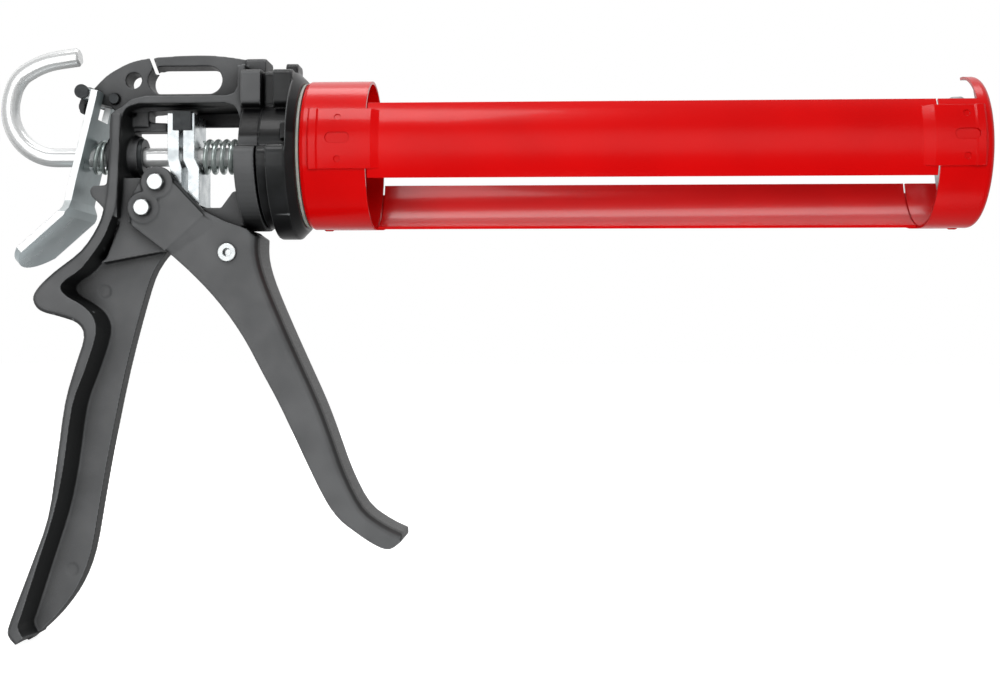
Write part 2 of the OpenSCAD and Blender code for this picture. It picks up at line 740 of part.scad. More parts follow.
// Rear ring: a short cup that turns on the swivel's journal
module rear_ring() {
    r = cradle_r;
    color("#c8141e") turned([[journal_r + journal_gap, rear_x], [r - 1.6, rear_x],
        [r - 0.5, rear_x + 0.5], [r, rear_x + 1.6], [r, ring_front],
        [r - sheet, ring_front], [r - sheet, rear_x + 2], [r - sheet - 1, rear_x + sheet],
        [journal_r + journal_gap, rear_x + sheet]]);
}

// Wedge of space round the axis, centred on up, for cutting rings
module wedge(x0, x1, half_angle, r) {
    plate_x(x0, x1) polygon(concat([[0, 0]],
        [for (a = [-half_angle:6:half_angle]) [r * sin(a), r * cos(a)]],
        [[r * sin(half_angle), r * cos(half_angle)]]));
}

module front_cap() {
    r = cradle_r;
    b = cap_bend;
    corner = [for (a = [90:-15:0]) [r - b + b * cos(a), front_x - b + b * sin(a)]];
    inside = [for (a = [0:15:90]) [r - b + (b - sheet) * cos(a),
        front_x - b + (b - sheet) * sin(a)]];
    open = rail_at - rail_arc / 2;
    color("#c8141e") rotate([-cradle_turn, 0, 0]) difference() {
        turned(concat([[0, front_x - sheet], [0, front_x]], corner,
            [[r, skirt_rear], [r - sheet, skirt_rear]], inside));
        wedge(skirt_rear - 1, front_x - cap_lip, open, 2 * r);
        bar_x(-5, 5, slot_r);
        translate([-5, -slot_r, 0]) cube([10, 2 * slot_r, 2 * r]);
    }
}

lap_gap = 0.02;
lap_r = cradle_r + lap_gap; // inner radius of the end tabs, which lie on the rings
tab_inset = 3.2; // from the ends of the cradle to the tabs' ends
rear_joggle = 2.8; // length of the step between the rear tab and the rail
front_joggle = 3.9; // the same at the front tab
clinch_x = 13.6; // from the ends of the cradle to the clinches

// Curved strip round the axis from an outline of [radius, x] points, centred on up
module strip(arc, points) {
    rotate([0, 90, 0]) rotate([0, 0, 180 - arc / 2])
        rotate_extrude(angle = arc, $fn = 120) polygon(points);
}

// End tab that laps a ring from x_end to x_ring, where the ring stops, with a bead at its end
// and a step down to the rail
module tab(x_end, x_ring, joggle) {
    d = x_ring > x_end ? 1 : -1;
    mid = cradle_r - sheet / 2;
    strip(tab_arc, [[lap_r, x_end], [lap_r, x_ring + 0.3 * d], [mid, x_ring + 1.2 * d],
        [mid, x_ring + (joggle + 3) * d], [cradle_r, x_ring + (joggle + 2) * d],
        [lap_r + sheet, x_ring + 2 * d], [lap_r + sheet, x_end + 3.6 * d],
        [lap_r + sheet + 0.4, x_end + 3 * d], [lap_r + sheet + 0.4, x_end + 0.6 * d],
        [lap_r + sheet, x_end]]);
}

// Where a tab is clinched to its ring: a slot and a dimple on each side of it, pressed in
module clinch(x) {
    top = lap_r + sheet;
    for (dx = [-2.3, 2.3]) translate([x + dx, 0, top - 0.5]) cylinder(r = 1.85, h = 3, $fn = 32);
    translate([x - 2.3, -1.85, top - 0.5]) cube([4.6, 3.7, 3]);
    for (a = [-15.5, 15.5]) rotate([a, 0, 0])
        translate([x, 0, top - 0.35]) cylinder(r = 1.1, h = 3, $fn = 32);
}

// Rail with a tab at each end, centred on the given angle from up
module rail(at) {
    r = cradle_r;
    rotate([-cradle_turn + at, 0, 0]) difference() {
        union() {
            strip(rail_arc, [[r - sheet, ring_front + 0.6], [r - sheet, skirt_rear - 0.6],
                [r, skirt_rear - 0.6], [r, ring_front + 0.6]]);
            tab(rear_x + tab_inset, ring_front, rear_joggle);
            tab(front_x - tab_inset, skirt_rear, front_joggle);
        }
        clinch(rear_x + clinch_x);
        clinch(front_x - clinch_x + 4);
    }
}

module near_rail() {
    color("#c8141e") rail(rail_at);
}
module far_rail() {
    color("#c8141e") rail(-rail_at);
}

handle_casting();
swivel_collar();
swivel_washer();
cradle_nut();
rear_guide_bush();
frame_pin();
lever_pin();
trigger_pivot_bolt();
trigger_pivot_nut();
drive_spring();
release_spring();
trigger_lever();
push_bolt();
push_nut();
push_roller();
trigger_rivet();
drive_plate_rear();
drive_plate_front();
plate_block();
release_lever();
push_rod();
plunger_disc();
plunger_cup();
rod_nut();
rear_ring();
front_cap();
near_rail();
far_rail();
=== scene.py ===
"""Looks of a cradle caulking gun: finishes, rounded castings, rod, springs, plunger and stage."""

import functools
import json
import math

import bmesh
import bpy
from mathutils import Matrix, Vector


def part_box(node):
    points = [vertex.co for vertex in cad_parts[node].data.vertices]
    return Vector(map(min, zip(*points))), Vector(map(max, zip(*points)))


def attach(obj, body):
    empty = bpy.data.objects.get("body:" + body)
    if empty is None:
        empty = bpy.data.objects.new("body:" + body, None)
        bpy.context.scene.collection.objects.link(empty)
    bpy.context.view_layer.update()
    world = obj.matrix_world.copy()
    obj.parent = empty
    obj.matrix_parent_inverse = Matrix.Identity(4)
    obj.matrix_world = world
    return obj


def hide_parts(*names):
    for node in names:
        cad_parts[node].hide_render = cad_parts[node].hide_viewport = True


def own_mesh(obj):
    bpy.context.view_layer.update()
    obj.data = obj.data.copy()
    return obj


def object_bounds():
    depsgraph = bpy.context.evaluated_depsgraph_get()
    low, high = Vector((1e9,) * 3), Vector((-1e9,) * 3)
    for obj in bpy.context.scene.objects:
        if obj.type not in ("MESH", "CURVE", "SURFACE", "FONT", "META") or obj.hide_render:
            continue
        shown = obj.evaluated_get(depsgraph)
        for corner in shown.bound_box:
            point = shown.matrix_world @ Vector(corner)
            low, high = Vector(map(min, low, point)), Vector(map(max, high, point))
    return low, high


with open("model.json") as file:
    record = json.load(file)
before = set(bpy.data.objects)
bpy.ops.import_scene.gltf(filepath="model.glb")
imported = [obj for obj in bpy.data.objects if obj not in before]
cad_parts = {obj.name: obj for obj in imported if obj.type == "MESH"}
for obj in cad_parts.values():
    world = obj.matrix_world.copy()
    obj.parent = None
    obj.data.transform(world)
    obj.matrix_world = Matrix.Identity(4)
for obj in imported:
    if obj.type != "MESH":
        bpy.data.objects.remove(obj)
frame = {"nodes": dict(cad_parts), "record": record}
CAD_BOX = [list(corner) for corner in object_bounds()]

bl_info = {
    "name": "Caulking Gun Looks",
    "version": (1, 0, 0),
    "blender": (4, 5, 0),
    "location": "View3D > Sidebar > Caulking Gun",
    "description": "Finishes and details for a cradle caulking gun",
    "category": "Object",
}

MM = 0.001
# The floor lies a hair under the lowest point of the tool
FLOOR_Z = CAD_BOX[0][2] - 0.4 * MM

# X of the cradle's rear face. Places on the handle are given from it, in millimetres
REAR_MM = round(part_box("rear_ring")[0][0] / MM, 3)

# Band of painted shade on the handle's nose above the rod: X of its left end, Z of its band up
# to the collar's ears, and how softly it ends
NECK_MM = {"left": REAR_MM - 22.6, "band": (5, 17.2), "soft": 0.8}

# Castings that get rounded edges: piece, node, body and slot
CASTINGS = (
    ("grip_casting", "handle_casting", "handle", "cast_handle"),
    ("trigger_casting", "trigger_lever", "trigger", "cast_handle"),
    ("collar_casting", "swivel_collar", "handle", "swivel_black"),
)
# How they are rounded: points closer than the weld are joined, melt counts the rounds of
# smoothing, kept is the share of triangles left, and edges sharper than the crease stay crisp
ROUNDING = {"weld_mm": 0.001, "melt": 2, "kept": 0.28, "crease": math.radians(70)}

# Outlines on the handle as [X, Z] from the cradle's rear face: a fill for the solid's own slit, the
# slit as it is sawn on the near and far faces, and the web behind the window's top corner
SLIT_FILL_MM = [(-58.6, 34.6), (-55.5, 35.2), (-54.8, 32.2), (-56.4, 31.7), (-57.5, 31.3)]
SLIT_NEAR_MM = [(-58.5, 37), (-57, 37), (-54.1, 28.9), (-55.3, 28.9)]
SLIT_FAR_MM = [(-61.8, 39.4), (-60.3, 39.3), (-57.3, 31.1), (-58.6, 31.1)]
WINDOW_WEB_MM = [(-44.5, 20), (-44.5, 13.6), (-43, 12.4), (-25, 12.4), (-25, 20)]
# Blocks across the handle: name, near and far outline, their Y in millimetres, and what is done
HANDLE_BLOCKS = (
    ("rail_back", SLIT_FILL_MM, SLIT_FILL_MM, (-4.9, 4.9), "UNION"),
    ("window_web", WINDOW_WEB_MM, WINDOW_WEB_MM, (9.6, 12.2), "UNION"),
    ("rail_slit", SLIT_NEAR_MM, SLIT_FAR_MM, (-5.5, 5.5), "DIFFERENCE"),
)

# Rod: X of its front end and of a ring half way, the nip off its corners, and the length of the
# chamfer at the hook's end, which narrows the bar to the share
ROD_MM = {"front": -10.3, "middle": -120, "nip": 0.3, "chamfer": 0.7}
ROD_END_SHARE = 0.82
# Turned end that carries the plunger, as [X, radius], with a chamfer
ROD_STUB_MM = ((-12, 2.9), (-3, 2.9), (-2.4, 2.3))
ROD_STUB_SIDES = 32
# Hook: X from the cradle's rear face and radius of its round bend, the degrees that this turns
# through from the lowest point, then the free end as [X, Z] from the cradle's rear face
HOOK_BEND_MM = (-93.4, 17.4)
HOOK_BEND_DEGREES = range(270, 174, -5)
HOOK_END_MM = [(-110.6, 20.5), (-109.2, 25.6), (-106.6, 29.6), (-103.2, 32), (-99.6, 33.8),
               (-95.2, 35.2), (-89.6, 36.1), (-85.6, 36.6)]

# Drive spring: turns, radius of the coil, and how far it shortens at full pull
DRIVE_COIL_MM = {"turns": 5, "radius": 5.55, "stroke": 6.3}
# Release spring: X of its ends from the cradle's rear face, then turns, radii, and lean of its rear
RELEASE_COIL_MM = {"ends": (-79.4, -73.8), "turns": 2, "radius": 5.5, "wire": 0.8, "lean": 0.248}
# Coils: rings to a turn, points to a ring, the part of a turn that is closed at each end, the
# pitch there in wires, and the thickness that the ground tips start at and their length in rings
COIL = {"rings": 36, "points": 12, "closed": 0.5, "touch": 1.02, "tip": 0.55, "tip_rings": 5}

PLUNGER_SIDES = 96

# Soft boxes in metres: name, place, aim, size, watts, and whether gloss mirrors them
MIDDLE = (-0.17, 0, -0.04)
LIGHTS = (
    ("key", (-0.42, -0.42, 0.72), (-0.22, 0, 0), (0.5, 0.3), 2.4, True),
    ("front_fill", (-0.05, -1.2, 0.25), MIDDLE, (1.0, 0.7), 8.5, False),
    ("back_fill", (-0.2, 1.2, 0.3), MIDDLE, (1.0, 0.7), 6, False),
    ("left_window", (-0.62, -0.95, 0.02), (-0.28, 0, 0), (0.42, 0.8), 1.9, True),
    ("low_fill", (0.0, -0.1, -0.45), (-0.06, 0, 0), (0.3, 0.2), 0.9, False),
    ("tab_fill", (-0.15, -0.2, -0.25), (-0.335, 0, -0.03), (0.12, 0.12), 0.2, False),
    ("top", (-0.1, 0.25, 0.9), MIDDLE, (0.9, 0.3), 3, True),
)
# How bright gloss finds the room along each axis, as from and to of the direction, then of the
# brightness: a dark front (-Y) and a pale wall behind, dimmer to the tool's front end and below
ROOM = {"Y": (-0.5, 0.6, 0.15, 0.95), "X": (0.05, 0.6, 1, 0.7), "Z": (-0.5, 0, 0.3, 1)}
# How strongly the room lights what isn't glossy
ROOM_LIGHT = 0.2
FLOOR_REACH = 8.0
# Place in metres, turns in degrees, lens and sensor in millimetres
CAMERA = {"at": (-0.14406, -0.49973, -0.06889), "yaw": 2.652, "pitch": -0.013, "roll": -0.047,
          "lens": 50.1, "sensor": 36}


def srgb(code):
    """Turns an sRGB hex colour such as "#c8141e" into linear RGBA."""
    channels = [int(code[i:i + 2], 16) / 255 for i in (1, 3, 5)]
    return [c / 12.92 if c <= 0.04045 else ((c + 0.055) / 1.055) ** 2.4 for c in channels] + [1.0]


class GunSettings(bpy.types.PropertyGroup):
    """Sizes and colours of the looks that a user would change."""

    rod_flats: bpy.props.FloatProperty(
        name="Rod Flats", description="Width of the hexagonal rod across its flats",
        default=6 * MM, subtype="DISTANCE", unit="LENGTH")
    wire_radius: bpy.props.FloatProperty(
        name="Wire Radius", description="Radius of the drive spring's wire",
        default=0.92 * MM, subtype="DISTANCE", unit="LENGTH")
    plunger_radius: bpy.props.FloatProperty(
        name="Plunger Radius", description="Radius of the plunger's rim",
        default=19.7 * MM, subtype="DISTANCE", unit="LENGTH")
    casting_voxel: bpy.props.FloatProperty(
        name="Casting Grid", description="Grid that the castings' edges are rounded on",
        default=0.38 * MM, subtype="DISTANCE", unit="LENGTH")
    smooth_angle: bpy.props.FloatProperty(
        name="Smooth Angle", description="Faces that meet at less than this are shaded as one",
        default=math.radians(32), subtype="ANGLE")
    cradle_colour: bpy.props.FloatVectorProperty(
        name="Cradle", description="Colour of the cradle's enamel",
        default=srgb("#cb0203"), size=4, min=0, max=1, subtype="COLOR")
    cradle_cloud: bpy.props.FloatVectorProperty(
        name="Cradle Clouds", description="Colour that clouds the cradle's enamel",
        default=srgb("#d60304"), size=4, min=0, max=1, subtype="COLOR")
    casting_colour: bpy.props.FloatVectorProperty(
        name="Castings", description="Colour of the powder coat on the handle and trigger",
        default=srgb("#505152"), size=4, min=0, max=1, subtype="COLOR")
    casting_cloud: bpy.props.FloatVectorProperty(
        name="Casting Clouds", description="Colour that clouds the castings' powder coat",
        default=srgb("#5a5b5c"), size=4, min=0, max=1, subtype="COLOR")
    collar_colour: bpy.props.FloatVectorProperty(
        name="Collar", description="Colour of the collar's enamel",
        default=srgb("#1f2020"), size=4, min=0, max=1, subtype="COLOR")
    collar_cloud: bpy.props.FloatVectorProperty(
        name="Collar Clouds", description="Colour that clouds the collar's enamel",
        default=srgb("#2a2b2c"), size=4, min=0, max=1, subtype="COLOR")
    washer_colour: bpy.props.FloatVectorProperty(
        name="Washer", description="Colour of the slip washer",
        default=srgb("#a3a69d"), size=4, min=0, max=1, subtype="COLOR")
    washer_stain: bpy.props.FloatVectorProperty(
        name="Washer Stains", description="Colour that stains the slip washer",
        default=srgb("#8f928a"), size=4, min=0, max=1, subtype="COLOR")


def add_node(tree, kind, settings=(), links=()):
    """Adds a node: settings maps attributes or inputs to values, links maps inputs to sockets."""
    made = tree.nodes.new(kind)
    for key, value in dict(settings).items():
        if isinstance(key, str) and hasattr(made, key):
            setattr(made, key, value)
        else:
            made.inputs[key].default_value = value
    for key, source in dict(links).items():
        tree.links.new(source, made.inputs[key])
    return made


def blank(name, settings):
    """A new material whose Principled shader has settings; returns material, tree and shader."""
    made = bpy.data.materials.new(name)
    made.use_nodes = True
    shader = made.node_tree.nodes["Principled BSDF"]
    for key, value in settings.items():
        shader.inputs[key].default_value = value
    return made, made.node_tree, shader


def span(low, high, out_low=0, out_high=1):
    """Settings that map low..high to out_low..out_high and hold beyond them."""
    return {"From Min": low, "From Max": high, "To Min": out_low, "To Max": out_high}


def mottle(tree, size_mm, detail):
    """An uneven pattern in object space with features about size_mm across."""
    place = add_node(tree, "ShaderNodeTexCoord")
    return add_node(tree, "ShaderNodeTexNoise", {"Scale": 1 / (size_mm * MM), "Detail": detail},
                    {"Vector": place.outputs["Object"]}).outputs["Fac"]


def axes(tree, output):
    """X, Y and Z of a texture coordinate, such as Object for place or Normal for direction."""
    place = add_node(tree, "ShaderNodeTexCoord")
    return add_node(tree, "ShaderNodeSeparateXYZ", {}, {0: place.outputs[output]}).outputs


def squareness(tree):
    """How squarely a face looks to either side of the tool, from 0 to 1."""
    return add_node(tree, "ShaderNodeMath", {"operation": "ABSOLUTE"},
                    {0: axes(tree, "Normal")["Y"]}).outputs[0]


def clouded(tree, pattern, first, second, low=0.3, high=0.7):
    """Mixes two colours, each a setting or an sRGB code, as a pattern goes from low to high."""
    share = add_node(tree, "ShaderNodeMapRange", span(low, high), {"Value": pattern})
    first, second = (srgb(c) if isinstance(c, str) else tuple(c) for c in (first, second))
    return add_node(tree, "ShaderNodeMix", {"data_type": "RGBA", 6: first, 7: second},
                    {0: share.outputs["Result"]}).outputs[2]


def turned(tree, colour, code, value, low, high, at_low=0, at_high=1):
    """Turns a colour towards an sRGB code, by at_low to at_high as a value goes low to high."""
    share = add_node(tree, "ShaderNodeMapRange", span(low, high, at_low, at_high),
                     {"Value": value})
    return add_node(tree, "ShaderNodeMix", {"data_type": "RGBA", 7: srgb(code)},
                    {0: share.outputs["Result"], 6: colour}).outputs[2]


def uneven_gloss(tree, shader, pattern, glossy, dull):
    """Lets the shader's roughness follow a pattern."""
    share = add_node(tree, "ShaderNodeMapRange", span(0.3, 0.7, glossy, dull),
                     {"Value": pattern})
    tree.links.new(share.outputs["Result"], shader.inputs["Roughness"])


def soften(tree, shader, radius_mm, height=None, strength=0, depth_mm=0):
    """Shades the edges as rounded, with a bump on top where a height is given."""
    edge = add_node(tree, "ShaderNodeBevel", {"samples": 4, "Radius": radius_mm * MM})
    if height is not None:
        edge = add_node(tree, "ShaderNodeBump", {"Strength": strength, "Distance": depth_mm * MM},
                        {"Height": height, "Normal": edge.outputs["Normal"]})
    tree.links.new(edge.outputs["Normal"], shader.inputs["Normal"])


def hollow_shade(tree, colour, code, reach_mm, open_share, shut_share):
    """Darkens a colour in hollows within reach: painted shade where light doesn't get in."""
    hollow = add_node(tree, "ShaderNodeAmbientOcclusion",
                      {"samples": 6, "Distance": reach_mm * MM})
    return turned(tree, colour, code, hollow.outputs["AO"], shut_share, open_share, 1, 0)


def edge_highlight_and_wear(tree, colour, code):
    """Pales a colour along outer edges: a painted highlight where rounded edges catch light,
    together with the coat rubbed thin there.
    """
    shape = add_node(tree, "ShaderNodeNewGeometry")
    return turned(tree, colour, code, shape.outputs["Pointiness"], 0.52, 0.58, 0, 0.8)


def shaded_side_faces(tree, colour, code):
    """Keeps a colour on the faces square to either side, where the front and back light fall, and
    darkens the rest: painted shade.
    """
    return turned(tree, colour, code, squareness(tree), 0.45, 0.95, 1, 0)


def shaded_neck(tree, colour, code):
    """Paints shade on the handle's nose above the rod, from its left end on, in the band up to the
    collar's ears.
    """
    at = axes(tree, "Object")
    soft, left = NECK_MM["soft"] * MM, NECK_MM["left"] * MM
    low, high = (z * MM for z in NECK_MM["band"])
    share = add_node(tree, "ShaderNodeMapRange", span(left - soft, left),
                     {"Value": at["X"]}).outputs["Result"]
    for settings in (span(low - soft, low), span(high - soft, high, 1, 0)):
        edge = add_node(tree, "ShaderNodeMapRange", settings, {"Value": at["Z"]})
        share = add_node(tree, "ShaderNodeMath", {"operation": "MULTIPLY"},
                         {0: share, 1: edge.outputs["Result"]}).outputs[0]
    return turned(tree, colour, code, share, 0, 1)


def powder_coated_casting():
    """Satin black powder coat on die-cast aluminium: dark charcoal, a soft wide highlight and a
    fine pebble that breaks it up. Painted shade darkens the hollows, the faces not square to either
    side and the nose above the rod; a painted highlight pales the edges, where the coat is also
    rubbed thin."""
    made, tree, shader = blank("powder_coated_casting", {"Specular IOR Level": 0.35})
    gun = bpy.context.scene.gun
    grain = mottle(tree, 0.6, 4)
    coat = clouded(tree, mottle(tree, 14, 2), gun.casting_colour, gun.casting_cloud, 0.35, 0.65)
    # painted shade: #1d1e1e on faces not square to either side
    coat = shaded_side_faces(tree, coat, "#1d1e1e")
    # painted shade: #0c0c0d on the nose above the rod
    coat = shaded_neck(tree, coat, "#0c0c0d")
    # painted highlight and wear: #7c7e7f along the outer edges
    coat = edge_highlight_and_wear(tree, coat, "#7c7e7f")
    # painted shade: #0b0b0c in the casting's hollows
    coat = hollow_shade(tree, coat, "#0b0b0c", 13, 0.88, 0.42)
    tree.links.new(coat, shader.inputs["Base Color"])
    uneven_gloss(tree, shader, grain, 0.36, 0.5)
    soften(tree, shader, 0.7, grain, 0.12, 0.06)
    return made


def gloss_black_paint():
    """Gloss black stoving enamel on the cast collar: near black with crisp reflections."""
    made, tree, shader = blank("gloss_black_enamel", {
        "Roughness": 0.36, "Specular IOR Level": 0.3, "Coat Weight": 0.12, "Coat Roughness": 0.1})
    gun = bpy.context.scene.gun
    coat = clouded(tree, mottle(tree, 9, 2), gun.collar_colour, gun.collar_cloud, 0.35, 0.65)
    # painted shade: #0e0e0f on faces not square to either side
    coat = shaded_side_faces(tree, coat, "#0e0e0f")
    # painted shade: #060607 on the collar's band above the rod
    coat = shaded_neck(tree, coat, "#060607")
    # painted highlight and wear: #6c6e6f along the collar's outer edges
    coat = edge_highlight_and_wear(tree, coat, "#6c6e6f")
    # painted shade: #070708 in the collar's hollows
    coat = hollow_shade(tree, coat, "#070708", 6, 0.8, 0.35)
    tree.links.new(coat, shader.inputs["Base Color"])
    soften(tree, shader, 0.9, mottle(tree, 5, 1), 0.1, 0.1)
    return made


def red_enamel():
    """Gloss red baked enamel on sheet steel: deep saturated red, mirror highlights with a slight
    orange peel."""
    made, tree, shader = blank("red_baked_enamel", {
        "Roughness": 0.24, "Specular IOR Level": 0.25, "Coat Weight": 0.15,
        "Coat Roughness": 0.08})
    gun = bpy.context.scene.gun
    tree.links.new(clouded(tree, mottle(tree, 30, 2), gun.cradle_colour, gun.cradle_cloud),
                   shader.inputs["Base Color"])
    soften(tree, shader, 0.35, mottle(tree, 2.4, 1.5), 0.08, 0.05)
    return made


def bright_zinc():
    """Bright zinc plating on stamped steel: pale blue-white metal, slightly clouded."""
    made, tree, shader = blank("bright_zinc_plate", {"Metallic": 1.0})
    cloud = mottle(tree, 5, 3)
    tree.links.new(clouded(tree, cloud, "#d9dedf", "#c3cacd"), shader.inputs["Base Color"])
    uneven_gloss(tree, shader, cloud, 0.2, 0.34)
    soften(tree, shader, 0.3, mottle(tree, 0.4, 3), 0.06, 0.03)
    return made


def zinc_painted_light():
    """Zinc plating on the release lever: blue-grey faces clouded by handling, with painted light
    that brightens them towards the thumb tab's end and a painted highlight on the faces square to
    either side, its sheared edges. It is only partly metallic, so that it stays as pale as real
    plate where it mirrors the dark front of the room."""
    made, tree, shader = blank("zinc_plate_painted_light", {"Metallic": 0.45})
    cloud = mottle(tree, 7, 3)
    tab_top, tab_end = -14 * MM, -40 * MM
    face = clouded(tree, cloud, "#8d999b", "#a9b6b8")
    # painted light: #e3f1f5 brightening the plate towards the tab's end
    face = turned(tree, face, "#e3f1f5", axes(tree, "Object")["Z"], tab_top, tab_end)
    # painted highlight: #f0f3f3 on the faces square to either side, the sheared edges
    face = turned(tree, face, "#f0f3f3", squareness(tree), 0.6, 0.8)
    tree.links.new(face, shader.inputs["Base Color"])
    uneven_gloss(tree, shader, cloud, 0.26, 0.38)
    soften(tree, shader, 0.3, mottle(tree, 0.4, 3), 0.06, 0.03)
    return made


def plated_rod_steel():
    """Nickel plated drawn hexagonal bar: bright flats with faint drawing lines along it, which are
    drawn a third of a millimetre wide because real ones are too fine to show. It is only partly
    metallic, for the reason that the release lever is."""
    made, tree, shader = blank("plated_drawn_bar", {"Metallic": 0.45, "Roughness": 0.18})
    place = add_node(tree, "ShaderNodeTexCoord")
    along = add_node(tree, "ShaderNodeMapping", {"Scale": (0.02, 1, 1)},
                     {"Vector": place.outputs["Object"]})
    lines = add_node(tree, "ShaderNodeTexNoise", {"Scale": 1 / (0.35 * MM), "Detail": 3},
                     {"Vector": along.outputs["Vector"]}).outputs["Fac"]
    tree.links.new(clouded(tree, lines, "#fbfcfc", "#eceeee"), shader.inputs["Base Color"])
    soften(tree, shader, 0.4, lines, 0.04, 0.02)
    return made


def zinc_fastener():
    """Zinc plated hexagon heads and rivets: whiter and a little duller than the plates."""
    made, tree, shader = blank("zinc_fastener", {"Metallic": 1.0, "Roughness": 0.26})
    tree.links.new(clouded(tree, mottle(tree, 1.5, 3), "#dfe2e2", "#cbd0d1"),
                   shader.inputs["Base Color"])
    soften(tree, shader, 0.4)
    return made


def spring_wire():
    """Zinc plated music wire: grey metal with a tight highlight along each turn, and painted shade
    between the turns."""
    made, tree, shader = blank("zinc_spring_wire", {"Metallic": 0.7, "Roughness": 0.24})
    streak = mottle(tree, 1.2, 3)
    wire = clouded(tree, streak, "#dfe8e6", "#c2cfcc")
    # painted shade: #2c3634 between the turns
    tree.links.new(hollow_shade(tree, wire, "#2c3634", 2, 0.75, 0.3), shader.inputs["Base Color"])
    bump = add_node(tree, "ShaderNodeBump", {"Strength": 0.08, "Distance": 0.03 * MM},
                    {"Height": streak})
    tree.links.new(bump.outputs["Normal"], shader.inputs["Normal"])
    return made


def pressed_zinc():
    """Dull zinc on the pressed plunger: grey with soft rubbed patches."""
    made, tree, shader = blank("dull_zinc_pressing", {"Metallic": 1.0, "Roughness": 0.38})
    tree.links.new(clouded(tree, mottle(tree, 3, 4), "#b6babb", "#8f9496"),
                   shader.inputs["Base Color"])
    soften(tree, shader, 0.3)
    return made


def pale_nylon():
    """Moulded natural nylon washer: milky off-white with a soft sheen."""
    made, tree, shader = blank("moulded_nylon", {
        "Roughness": 0.45, "Subsurface Weight": 0.2, "Subsurface Scale": 1 * MM})
    gun = bpy.context.scene.gun
    tree.links.new(clouded(tree, mottle(tree, 4, 2), gun.washer_colour, gun.washer_stain),
                   shader.inputs["Base Color"])
    soften(tree, shader, 0.2)
    return made


def blackened_steel():
    """Oil blackened steel: dark, with a low metallic sheen."""
    made, tree, shader = blank("blackened_steel", {"Metallic": 0.6, "Roughness": 0.42})
    tree.links.new(clouded(tree, mottle(tree, 2.5, 3), "#46494a", "#36383a"),
                   shader.inputs["Base Color"])
    soften(tree, shader, 0.3)
    return made


# Nodes whose finish differs from the rest of their slot
OWN_FINISH = {"release_lever": "zinc_painted_light"}

# The finish of each slot, and of each node that has its own
FINISHES = {
    "zinc_painted_light": zinc_painted_light,
    "cast_handle": powder_coated_casting,
    "swivel_black": gloss_black_paint,
    "cradle_red": red_enamel,
    "zinc_plate": bright_zinc,
    "rod_steel": plated_rod_steel,
    "spring_wire": spring_wire,
    "fastener_zinc": zinc_fastener,
    "plunger_steel": pressed_zinc,
    "washer_white": pale_nylon,
    "dark_steel": blackened_steel,
}


@functools.cache
def finish_of(name):
    """The material of a finish, made once."""
    return FINISHES[name]()


class GUN_OT_paint(bpy.types.Operator):
    """Gives every carried-over solid its finish"""

    bl_idname = "gun.paint"
    bl_label = "Paint the Solids"

    def execute(self, context):
        slots = {s["node"]: s["material_slot"] for s in frame["record"]["subparts"]}
        for name, piece in frame["nodes"].items():
            piece.data.materials.clear()
            piece.data.materials.append(finish_of(OWN_FINISH.get(name, slots[name])))
        return {"FINISHED"}


def face_outwards(mesh):
    """Turns every face of a closed mesh outwards."""
    work = bmesh.new()
    work.from_mesh(mesh)
    bmesh.ops.recalc_face_normals(work, faces=work.faces)
    work.to_mesh(mesh)
    work.free()


def mesh_of(name, parts):
    """One mesh from parts, each a list of rings of points in millimetres that are joined in turn.
    Every ring of a part has as many points; its two ends are closed."""
    points, faces = [], []
    for rings in parts:
        start, count = len(points), len(rings[0])
        points += [Vector(p) * MM for ring in rings for p in ring]
        for k in range(len(rings) - 1):
            for i in range(count):
                j = (i + 1) % count
                low = start + k * count
                faces.append((low + i, low + j, low + count + j, low + count + i))
        faces.append([start + i for i in range(count)][::-1])
        faces.append([start + (len(rings) - 1) * count + i for i in range(count)])
    mesh = bpy.data.meshes.new(name)
    mesh.from_pydata(points, [], faces)
    return mesh


def add_piece(name, mesh, body, slot, stands_for, angle):
    """Puts a mesh in the scene with its finish, riding on its body in place of CAD nodes."""
    face_outwards(mesh)
    mesh.shade_smooth()
    mesh.set_sharp_from_angle(angle=angle)
    mesh.materials.clear()
    mesh.materials.append(finish_of(slot))
    piece = bpy.data.objects.new(name, mesh)
    bpy.context.scene.collection.objects.link(piece)
    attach(piece, body)
    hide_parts(*stands_for)
    return piece


def ring_x(x, radius, sides):
    """Circle round the X axis."""
    return [(x, radius * math.sin(a), radius * math.cos(a))
            for a in (math.tau * k / sides for k in range(sides))]


def welded_copy(context, name, node):
    """An object with a copy of a node's solid, whose triangles are joined at their corners."""
    mesh = bpy.data.meshes.new(name)
    work = bmesh.new()
    work.from_mesh(frame["nodes"][node].data)
    bmesh.ops.remove_doubles(work, verts=work.verts, dist=ROUNDING["weld_mm"] * MM)
    work.to_mesh(mesh)
    work.free()
    copy = bpy.data.objects.new(name + "_rough", mesh)
    context.scene.collection.objects.link(copy)
    return copy


def handle_block(context, name, near, far, sides):
    """A prism across the handle from its near outline to its far one."""
    rings = [[(REAR_MM + x, y, z) for x, z in outline] for outline, y in zip((near, far), sides)]
    block = bpy.data.objects.new(name, mesh_of(name, [rings]))
    face_outwards(block.data)
    context.scene.collection.objects.link(block)
    return block


def rounded_mesh(context, rough, voxel):
    """The mesh of an object with every edge rounded by about a voxel."""
    blocks = rough.modifiers.new("blocks", "REMESH")
    blocks.mode = "VOXEL"
    blocks.voxel_size = voxel
    melt = rough.modifiers.new("melt", "SMOOTH")
    melt.factor = 0.5
    melt.iterations = ROUNDING["melt"]
    thin = rough.modifiers.new("thin", "DECIMATE")
    thin.ratio = ROUNDING["kept"]
    context.view_layer.update()
    return bpy.data.meshes.new_from_object(
        rough.evaluated_get(context.evaluated_depsgraph_get()))


